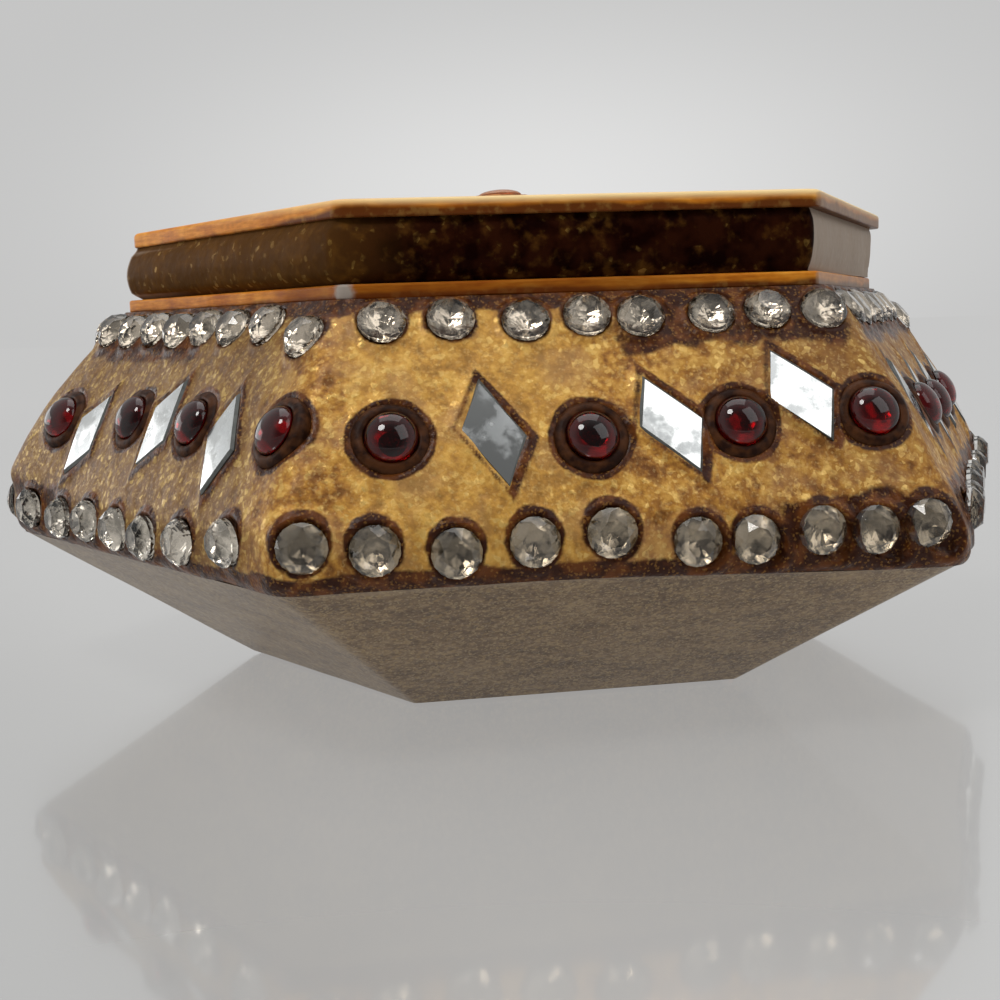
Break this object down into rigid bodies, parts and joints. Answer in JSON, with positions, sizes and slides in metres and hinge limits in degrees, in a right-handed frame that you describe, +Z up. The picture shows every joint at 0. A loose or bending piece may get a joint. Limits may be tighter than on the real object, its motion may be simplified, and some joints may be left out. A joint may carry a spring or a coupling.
{
  "type": "trinket box",
  "caption": "Six-sided keepsake box with a lift-off lid, wide at the waist and narrow at foot and rim, its glitter-lac shoulder set with cabochons, diamond mirrors and clear stones.",
  "frame": {"origin": "on the table under the middle of the foot", "axes": "+Z up; -Y out of the front side that the picture shows; corners of the hexagon on +X and -X"},
  "size_m": [0.1016, 0.0896, 0.0454],
  "materials": {
    "board": "thin board, lacquered orange on its inner faces",
    "orange_lacquer": "glossy orange lacquer over thin board",
    "underside_paint": "dull grey-brown glitter paint",
    "gold_lac": "glossy ochre lac with gold glitter",
    "dark_lac": "glossy dark red-brown lac",
    "brown_lac": "glossy brown lac with sparse gold glitter",
    "ruby_glass": "polished deep red glass cabochon",
    "clear_glass": "cut clear glass with a silvered back",
    "mirror_glass": "hand-cut silvered mirror"
  },
  "bodies": {
    "box": {"base_plate": "board", "lower_panels": "board", "underside_coat": "underside_paint", "shoulder_panels": "board", "waist_band": "dark_lac", "shoulder_coat": "gold_lac", "rim_band": "dark_lac", "rim_plate": "orange_lacquer", "neck_collar": "orange_lacquer", "ruby_pads": "dark_lac", "rubies": "ruby_glass", "side_mirrors": "mirror_glass", "waist_stones": "clear_glass", "rim_stones": "clear_glass"},
    "lid": {"lid_plate": "orange_lacquer", "lid_side_panels": "board", "lid_side_coat": "brown_lac", "lid_top_coat": "gold_lac", "lid_mirrors": "mirror_glass", "lid_stones": "clear_glass", "lid_boss": "dark_lac", "lid_ruby": "ruby_glass"}
  },
  "joints": [
    {"name": "lid_lift", "type": "slide", "parent": "box", "child": "lid", "axis": [0, 0, 1], "range_m": [0, 0.05]}
  ]
}
